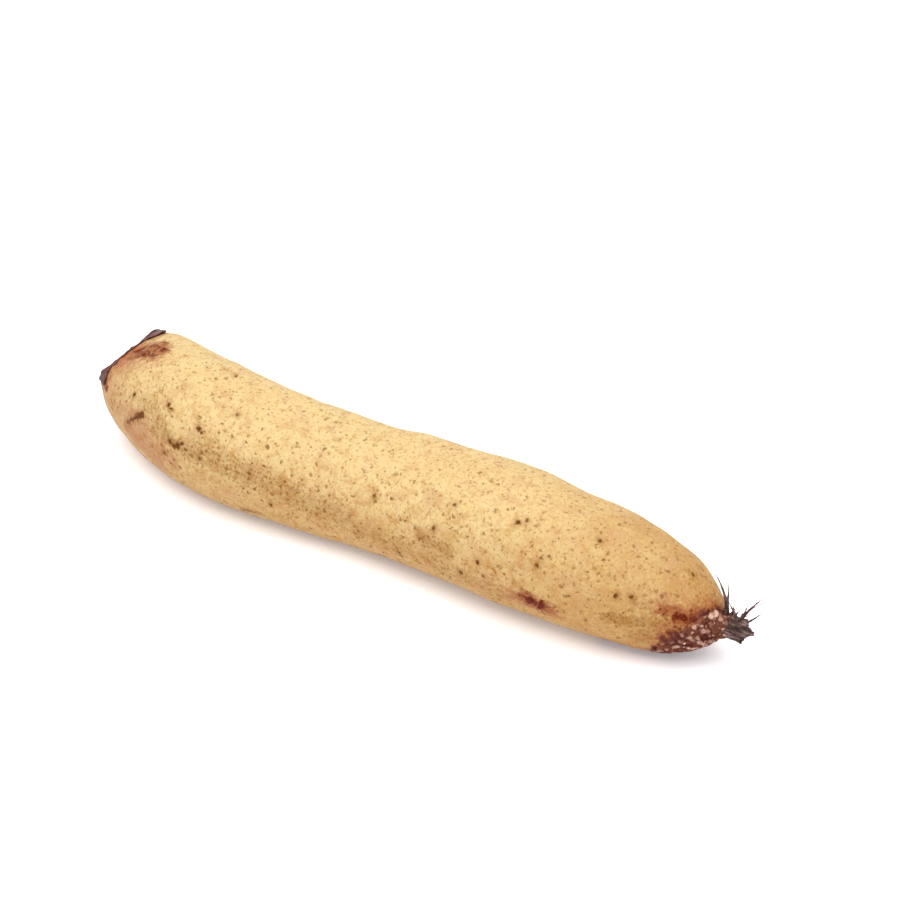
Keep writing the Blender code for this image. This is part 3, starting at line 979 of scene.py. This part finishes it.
def build_collar():
    """The dried remains of the sheath round the broken neck: a thin ragged band folded over the rim.

    Round the ring, each point of the band's outline is a point of the skin at some place, or of the face at
    some share of its radius, moved off the surface. How far the band reaches over the skin and past the face
    changes round the ring, ragged and seeded, and most where a flap is left on top and a scrap at one side.
    """
    angles = turn_angles(COLLAR_COLUMNS)
    middle, normal = face_frame()

    def skin_ring(back, off):
        """The ring that lies `back` millimetres behind the rim and `off` millimetres above the skin."""
        places = np.maximum(back, 0) / FIRST_SPAN
        ring = section_points(places, angles, skin_swell(places, angles))
        outwards = unit(ring - section_points(places, 0.0, 0.0))
        return ring + (off * MM)[:, None] * (outwards + 0.35 * normal)

    def face_ring(share, off):
        """The ring at a share of the rim's radius and `off` millimetres out of the face."""
        rim = section_points(0.0, angles, skin_swell(0.0, angles))
        return middle + share[:, None] * (rim - middle) + (off * MM)[:, None] * normal

    flap, scrap = bell(angles, *FLAP), bell(angles, *SCRAP)
    torn = np.clip(0.5 + 0.5 * ragged(angles, 21, 3, 14), 0, 1.6) * (1 - 0.6 * flap)
    fine = ragged(angles, 24, 20, 50) * (1 - 0.7 * flap)
    back = 0.5 + 0.8 * np.clip(0.5 + 0.5 * ragged(angles, 22, 3, 21), 0, 1.6) + 5.6 * flap + 3.6 * scrap
    reach = 0.22 + 0.38 * torn + 1.0 * flap + 0.9 * scrap + 0.05 * fine
    flare = 1.0 + 0.02 * torn + 0.05 * flap + 0.03 * scrap
    lift = 0.12 + 0.25 * np.clip(ragged(angles, 23, 4, 15), 0, 2) + 1.0 * flap + 0.4 * scrap
    wave = 0.22 * flap * ragged(angles, 25, 6, 14)
    none = 0 * angles
    rings = [
        skin_ring(back + 0.08 * fine, lift + wave),
        skin_ring(0.8 * back, 0.45 + 0.9 * lift + wave),
        skin_ring(0.45 * back, 0.50 + 0.5 * lift - 0.5 * wave),
        skin_ring(none, 0.50 + 0.2 * flap),
        face_ring(flare + 0.01, 0.6 * reach),
        face_ring(flare, reach),
        face_ring(flare - 0.035, 0.95 * reach),
        face_ring(0.96 + none, 0.35 * reach),
        face_ring(0.90 + none, -0.2 + none),
        face_ring(0.92 + none, -1.4 + none),
        skin_ring(0.5 * back, -0.7 + none),
        skin_ring(0.85 * back, -0.25 + 0.5 * lift),
    ]
    rings = smooth_loop(np.array(rings), 2)
    count, columns = rings.shape[:2]
    corner = np.arange(count * columns).reshape(count, columns)
    beside, below = np.roll(corner, -1, axis=1), np.roll(corner, -1, axis=0)
    quads = np.stack([corner, beside, np.roll(beside, -1, axis=0), below], -1).reshape(-1, 4)
    worn = np.array((0.0, 0.3, 0.8, 0.3, 0.0, 0.0, 0.0, 0.3, 0.6, 0.0, 0.0, 0.0))[:, None]
    worn = smooth_loop(worn * (0.15 + 0.6 * flap), 2)
    return make_piece("neck_collar", rings.reshape(-1, 3), [quads], {"worn": worn})


def smooth_loop(rings, times):
    """A closed loop of rings made finer: each new ring is three quarters of one and a quarter of the next."""
    for _ in range(times):
        after = np.roll(rings, -1, axis=0)
        pair = np.stack([0.75 * rings + 0.25 * after, 0.25 * rings + 0.75 * after], axis=1)
        rings = pair.reshape(-1, *rings.shape[1:])
    return rings


def crown_axis(distance):
    """Points on the crown's axis, which starts at the rhizome's end and climbs gently."""
    start = np.array(SECTIONS[-1][:3]) * MM + SHIFT
    distance = np.asarray(distance, float)
    lift = CROWN_RISE * distance + 0.4 * MM * smooth_step(0.0, 4.0 * MM, distance)
    return start + np.stack([distance, 0 * distance, lift], -1)


def profile_radius(profile, distance):
    """The radius that a profile of distances and radii gives at a distance, in metres."""
    return np.interp(distance / MM, [row[0] for row in profile], [row[1] for row in profile]) * MM


def around_axis(middles, radius, angles):
    """Points at a radius round the crown's axis."""
    radius, angles = np.broadcast_arrays(radius, angles)
    return middles + np.stack([0 * angles, radius * np.cos(angles), radius * np.sin(angles)], -1)


def build_neck():
    """The short scarred neck beyond the node, with the same scars as the skin, closed at both ends.

    Round the crown's axis, a point's radius is the profile's plus the scars' height and a low ripple.
    """
    angles = turn_angles(NECK_COLUMNS)[None, :]
    along = np.linspace(NECK[0][0], NECK[-1][0], NECK_ROWS)[:, None] * MM
    radius = profile_radius(NECK, along)
    points = around_axis(crown_axis(along), radius, angles)
    draw = np.random.default_rng(SEED + 6)
    number = np.arange(NECK_SCARS)
    spots = (-1.0 + 6.6 * (number + draw.uniform(0, 1, NECK_SCARS)) / NECK_SCARS) * MM
    turns = 2 * math.pi * (number * GOLDEN_SHARE + draw.uniform(0, 0.1, NECK_SCARS))
    centres = around_axis(crown_axis(spots), 0.97 * profile_radius(NECK, spots), turns)
    sizes = draw.uniform(0.65, 1.25, NECK_SCARS) * MM
    height, bud = scar_relief(points, centres, sizes, draw.uniform(0.2, 0.9, NECK_SCARS))
    radius = radius + 0.9 * height + 0.12 * MM * ripple(points, 1.6 * MM, 47) - 0.25 * MM * (height <= 0)
    shape, faces = closed_tube(around_axis(crown_axis(along), radius, angles))
    layers = {
        "zone": np.ones(len(shape)),
        "bud": np.append(bud.ravel(), (0, 0)),
        "rim": np.full(len(shape), 50.0),
        "along": np.full(len(shape), 1.15),
    }
    return make_piece("node_neck", shape, faces, layers)


def build_sheath(look):
    """The torn sheath round the neck, as one closed shell.

    Round the axis, a point's radius is the profile's, with folds that deepen towards the edge. Along it, the
    outer wall runs from a ragged base to the torn edge and turns over it, and the inner wall runs back to a
    rough plug. The edge's distance is SHEATH_END plus a tongue and a spike, which are bells round the ring,
    and fine seeded notches. The tongue bends in towards the axis and droops a little.
    """
    angles = turn_angles(SHEATH_COLUMNS)
    tongue = bell(angles, TONGUE_TURN, TONGUE_WIDTH)
    spike = bell(angles, SPIKE_TURN, SPIKE_WIDTH)
    notches = ragged(angles, 31, 6, 40)
    base = (3.2 + 0.7 * ragged(angles, 34, 4, 22)) * MM
    end = SHEATH_END + TONGUE * tongue + SPIKE * spike + 0.55 * MM * notches
    folds = ragged(angles, 32, 5, 21)
    fine = ragged(angles, 33, 24, 60)

    def ring(share, inset):
        """The wall's ring at a share of the way from base to edge, `inset` metres inside the outside."""
        along = base + share * (end - base)
        radius = profile_radius(SHEATH, along) * (1 - 0.55 * tongue * share**3 + 0.12 * spike * share**2)
        radius = radius + (0.08 + 0.34 * share**1.5) * MM * folds + (0.05 + 0.07 * share) * MM * fine - inset
        points = around_axis(crown_axis(along), np.maximum(radius, 0.35 * MM), angles)
        points[:, 2] -= 0.4 * MM * tongue * share**3
        return points

    outer = [ring(share, (1 - share) ** 6 * 0.35 * MM) for share in np.linspace(0, 1, SHEATH_ROWS)]
    back = (0.99, 0.95, 0.88, 0.8, 0.7, 0.6, 0.5)
    inner = [ring(share, look.wall * (0.7 + 2.2 * (1 - share))) for share in back]
    plug = [
        around_axis(crown_axis(along * MM + 0.3 * MM * fine), width * MM * (1 + 0.2 * folds), angles)
        for width, along in PLUG
    ]
    points, faces = closed_tube(np.array(outer + inner + plug))
    return make_piece("torn_sheath", points, faces)


def rootlet_path(distance, turn, lean, bend, length, wave, seed, rows):
    """The middle line of a rootlet: out of the crown's wall, leaning, and wavering by two seeded sines.

    Its heading is outwards plus a slope times forwards. The slope is the lean, and the bend is added to it
    over the first half. The sway's height is `wave` millimetres times a power of the share of the way.
    """
    around = math.radians(turn)
    outwards = np.array((0.0, math.cos(around), math.sin(around)))
    forwards = np.array((1.0, 0.0, 0.0))
    sideways = np.cross(forwards, outwards)
    share = np.linspace(0, 1, rows)
    slope = lean + bend * np.minimum(share * 2, 1)
    heading = unit(outwards + slope[:, None] * forwards)
    step = (length * MM + ROOTLET_SUNK) / (rows - 1)
    wall = profile_radius(SHEATH, distance * MM) - ROOTLET_SUNK
    start = crown_axis(distance * MM) + wall * outwards
    path = start + np.concatenate([np.zeros((1, 3)), np.cumsum(heading[:-1] * step, axis=0)])
    draw = np.random.default_rng(seed)
    sway = wave * MM * share**1.3
    for direction in (forwards, sideways):
        path += (sway * np.sin(share * draw.uniform(4, 8) + draw.uniform(0, 6)))[:, None] * direction
    return path


def strand(path, radius, sides):
    """A closed tube round a path: rings of `sides` points, square to the path's direction of travel."""
    travel = unit(np.gradient(path, axis=0))
    across = unit(np.cross(travel, np.array((0.3, 1.0, 0.2))))
    beyond = np.cross(travel, across)
    turn = turn_angles(sides)[None, :, None]
    spokes = across[:, None] * np.cos(turn) + beyond[:, None] * np.sin(turn)
    return closed_tube(path[:, None] + radius[:, None, None] * spokes)


def rootlet_rows():
    """Every rootlet's row: the long ones as stated, and slim short ones by the part's seeded rule."""
    yield from LONG_ROOTLETS
    draw = np.random.default_rng(SEED + 1)
    for index in range(SHORT_ROOTLETS):
        distance = np.interp((index + 0.5) / SHORT_ROOTLETS, (0, 1), (SHORT_FIRST, SHORT_LAST))
        turn = 90 + SHORT_SPREAD * (2 * ((index * GOLDEN_SHARE + 0.3) % 1) - 1)
        length = draw.uniform(*SHORT_LENGTHS)
        yield distance, turn, draw.uniform(-0.2, 0.7), draw.uniform(-0.6, 0.5), length, SHORT_RADIUS


def hair_rows(count):
    """The rows of the hair-thin rootlets: `count` seeded ones, and the long one."""
    draw = np.random.default_rng(SEED + 2)
    for _ in range(count):
        yield (*(draw.uniform(least, most) for least, most in HAIR_SPANS), HAIR_RADIUS)
    yield LONG_HAIR


def build_rootlets(look):
    """The rootlets and the hair-thin ones: tubes that taper along seeded, wavering paths."""
    shapes = []
    share = np.linspace(0, 1, ROOTLET_ROWS)
    for index, (*course, radius) in enumerate(rootlet_rows()):
        path = rootlet_path(*course, 0.35, 100 + index, ROOTLET_ROWS)
        knots = 1 + 0.10 * np.sin(share * 31 + index)
        shapes.append(strand(path, radius * MM * (1 - 0.88 * share**1.25) * knots, ROOTLET_SIDES))
    share = np.linspace(0, 1, HAIR_ROWS)
    for index, (*course, radius) in enumerate(hair_rows(look.hairs)):
        path = rootlet_path(*course, 0.9, 200 + index, HAIR_ROWS)
        shapes.append(strand(path, radius * MM * (1 - 0.7 * share), HAIR_SIDES))
    points, faces = join_shapes(shapes)
    return make_piece("rootlets", points, faces)


class LOTUS_OT_skin(bpy.types.Operator):
    """Build the pale body: skin, root scars and the broken neck with its air channels"""

    bl_idname = "lotus.skin"
    bl_label = "Skin"

    def execute(self, context):
        look = context.scene.lotus_skin
        piece = build_skin(look)
        piece.data.materials.append(skin_material("root_skin_finish", look))
        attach(piece, "root")
        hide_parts("rhizome")
        return {"FINISHED"}


class LOTUS_OT_collar(bpy.types.Operator):
    """Build the dried band of sheath round the broken neck"""

    bl_idname = "lotus.collar"
    bl_label = "Neck collar"

    def execute(self, context):
        look = context.scene.lotus_crown
        piece = build_collar()
        finish = crown_material("neck_collar_finish", look, (500, 500, 500), 0.25, look.maroon)
        piece.data.materials.append(finish)
        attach(piece, "root")
        return {"FINISHED"}


class LOTUS_OT_neck(bpy.types.Operator):
    """Build the scarred neck beyond the node"""

    bl_idname = "lotus.neck"
    bl_label = "Scarred neck"

    def execute(self, context):
        look = context.scene.lotus_skin
        piece = build_neck()
        piece.data.materials.append(skin_material("node_neck_finish", look))
        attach(piece, "root")
        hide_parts("root_crown")
        return {"FINISHED"}


class LOTUS_OT_sheath(bpy.types.Operator):
    """Build the torn sheath round the neck"""

    bl_idname = "lotus.sheath"
    bl_label = "Torn sheath"

    def execute(self, context):
        look = context.scene.lotus_crown
        piece = build_sheath(look)
        finish = crown_material("torn_sheath_finish", look, (140, 900, 900), 0.75, look.brown)
        piece.data.materials.append(finish)
        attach(piece, "root")
        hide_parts("root_crown")
        return {"FINISHED"}


class LOTUS_OT_rootlets(bpy.types.Operator):
    """Build the rootlets at the node"""

    bl_idname = "lotus.rootlets"
    bl_label = "Rootlets"

    def execute(self, context):
        look = context.scene.lotus_crown
        piece = build_rootlets(look)
        finish = crown_material("rootlets_finish", look, (400, 400, 400), 0.25, look.brown)
        piece.data.materials.append(finish)
        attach(piece, "root")
        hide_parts("root_crown")
        return {"FINISHED"}


def build_floor(look):
    """A square floor at the height that the root rests on."""
    half = FLOOR_SIDE / 2
    corners = [(-half, -half, 0), (half, -half, 0), (half, half, 0), (-half, half, 0)]
    mesh = bpy.data.meshes.new("floor")
    mesh.from_pydata(corners, [], [(0, 1, 2, 3)])
    floor = add_object("floor", mesh)
    material, _, _ = principled(
        "floor_finish",
        base_color=(*look.floor, 1.0),
        roughness=0.9,
        emission_color=(0.96, 0.96, 1.0, 1.0),
        emission_strength=look.glow,
        specular_ior_level=0.1,
    )
    mesh.materials.append(material)


def put(thing, place, back):
    """Puts a lamp or a camera at a place, looking away from the direction of `back`."""
    thing.location = place
    thing.rotation_mode = "QUATERNION"
    thing.rotation_quaternion = back.to_track_quat("Z", "Y")


def build_lights(look):
    """An even white sky, and one broad soft light above the root."""
    world = bpy.data.worlds.new("studio")
    world.use_nodes = True
    background = world.node_tree.nodes["Background"]
    background.inputs["Color"].default_value = (1.0, 0.99, 1.0, 1.0)
    background.inputs["Strength"].default_value = look.sky
    bpy.context.scene.world = world
    lamp = bpy.data.lights.new("key", "AREA")
    lamp.energy = look.key
    lamp.size = KEY_SIDE
    lamp.color = (1.0, 0.98, 0.95)
    put(add_object("key", lamp), KEY_PLACE, KEY_PLACE)


def build_camera(look):
    """The photo's camera: it aims beside the root, so that the root sits low and left in the frame."""
    level = math.cos(look.elevation)
    back = Vector((math.sin(look.azimuth) * level, -math.cos(look.azimuth) * level, math.sin(look.elevation)))
    camera = add_object("camera", bpy.data.cameras.new("camera"))
    camera.data.lens = look.lens
    camera.data.sensor_width = 36
    camera.data.clip_start, camera.data.clip_end = 0.05, 20
    put(camera, AIM + back * look.distance, back)
    bpy.context.scene.camera = camera


class LOTUS_OT_stage(bpy.types.Operator):
    """Build the pale floor, the soft light and the camera"""

    bl_idname = "lotus.stage"
    bl_label = "Stage"

    def execute(self, context):
        look = context.scene.lotus_stage
        build_floor(look)
        build_lights(look)
        build_camera(look)
        context.scene.view_settings.view_transform = "Standard"
        return {"FINISHED"}


class LOTUS_PT_panel(bpy.types.Panel):
    """The root's operators and looks"""

    bl_label = "Lotus root"
    bl_idname = "LOTUS_PT_panel"
    bl_space_type = "VIEW_3D"
    bl_region_type = "UI"
    bl_category = "Lotus root"

    def draw(self, context):
        for operator in OPERATORS:
            self.layout.operator(operator.bl_idname)
        for name, kind in LOOKS.items():
            box = self.layout.box()
            for key in kind.__annotations__:
                box.prop(getattr(context.scene, name), key)


LOOKS = {"lotus_skin": RootSkinLook, "lotus_crown": RootCrownLook, "lotus_stage": RootStageLook}
OPERATORS = (
    LOTUS_OT_stage,
    LOTUS_OT_skin,
    LOTUS_OT_collar,
    LOTUS_OT_neck,
    LOTUS_OT_sheath,
    LOTUS_OT_rootlets,
)


def register():
    for cls in (*LOOKS.values(), *OPERATORS, LOTUS_PT_panel):
        bpy.utils.register_class(cls)
    for key, cls in LOOKS.items():
        setattr(bpy.types.Scene, key, bpy.props.PointerProperty(type=cls))


def unregister():
    for key in LOOKS:
        delattr(bpy.types.Scene, key)
    for cls in reversed((*LOOKS.values(), *OPERATORS, LOTUS_PT_panel)):
        bpy.utils.unregister_class(cls)


def main():
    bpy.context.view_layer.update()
    register()
    bpy.ops.lotus.stage()
    bpy.ops.lotus.skin()
    bpy.ops.lotus.collar()
    bpy.ops.lotus.neck()
    bpy.ops.lotus.sheath()
    bpy.ops.lotus.rootlets()


if __name__ == "__main__":
    main()
